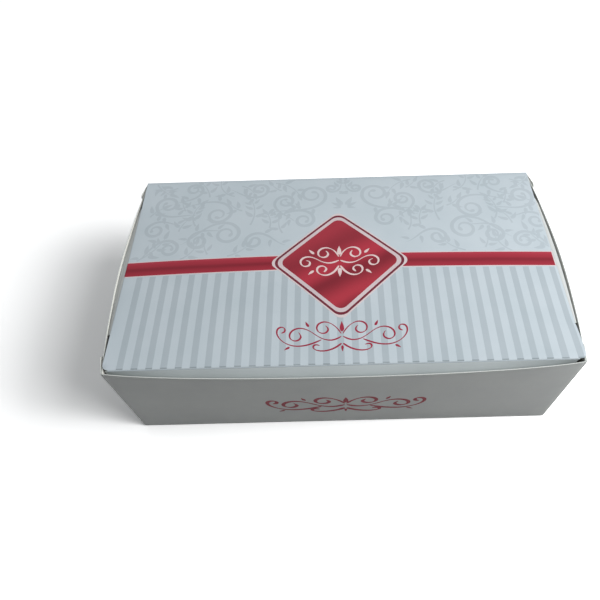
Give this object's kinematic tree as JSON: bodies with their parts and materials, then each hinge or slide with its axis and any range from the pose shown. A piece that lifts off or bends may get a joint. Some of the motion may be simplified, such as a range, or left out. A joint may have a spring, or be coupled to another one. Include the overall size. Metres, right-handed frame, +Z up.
{
  "type": "pastry box",
  "caption": "Folded paperboard pastry box: tapered tray with glued corners and a hinged lid whose front flap and side ears tuck inside.",
  "frame": {"origin": "centre of the base panel's underside, which stands on the table", "axes": "+X along the front towards its right end, +Y from the front towards the rear hinge, +Z up"},
  "size_m": [0.2592, 0.1494, 0.0733],
  "materials": {
    "lid_print": "satin",
    "wall_print": "satin",
    "dry_glue": "matte"
  },
  "bodies": {
    "tray": {"base_panel": "wall_print", "front_wall": "wall_print", "rear_wall": "wall_print", "left_wall": "wall_print", "right_wall": "wall_print", "front_base_crease": "wall_print", "rear_base_crease": "wall_print", "left_base_crease": "wall_print", "right_base_crease": "wall_print", "front_left_corner_crease": "wall_print", "front_right_corner_crease": "wall_print", "rear_left_corner_crease": "wall_print", "rear_right_corner_crease": "wall_print", "front_left_glue_flap": "wall_print", "front_right_glue_flap": "wall_print", "rear_left_glue_flap": "wall_print", "rear_right_glue_flap": "wall_print", "front_left_glue_patch": "dry_glue", "front_right_glue_patch": "dry_glue", "rear_left_glue_patch": "dry_glue", "rear_right_glue_patch": "dry_glue", "lid_hinge_crease": "lid_print"},
    "lid": {"lid_panel": "lid_print", "tuck_crease": "lid_print", "left_ear_crease": "lid_print", "right_ear_crease": "lid_print"},
    "tuck_flap": {"tuck_flap": "lid_print"},
    "left_ear": {"left_ear": "lid_print"},
    "right_ear": {"right_ear": "lid_print"}
  },
  "joints": [
    {"name": "lid_hinge", "type": "hinge", "parent": "tray", "child": "lid", "pos_m": [0, 0.0717, 0.0697], "axis": [-1, 0, 0], "range_deg": [0, 180]},
    {"name": "tuck_fold", "type": "hinge", "parent": "lid", "child": "tuck_flap", "pos_m": [0, -0.0702, 0.0697], "axis": [-1, 0, 0], "range_deg": [0, 54]},
    {"name": "left_ear_fold", "type": "hinge", "parent": "lid", "child": "left_ear", "pos_m": [-0.1239, 0, 0.0697], "axis": [0, 1, 0], "range_deg": [0, 54]},
    {"name": "right_ear_fold", "type": "hinge", "parent": "lid", "child": "right_ear", "pos_m": [0.1239, 0, 0.0697], "axis": [0, -1, 0], "range_deg": [0, 54]}
  ],
  "couplings": [
    {"joint": "tuck_fold", "follows": "lid_hinge", "ratio": 0.3},
    {"joint": "left_ear_fold", "follows": "lid_hinge", "ratio": 0.3},
    {"joint": "right_ear_fold", "follows": "lid_hinge", "ratio": 0.3}
  ]
}
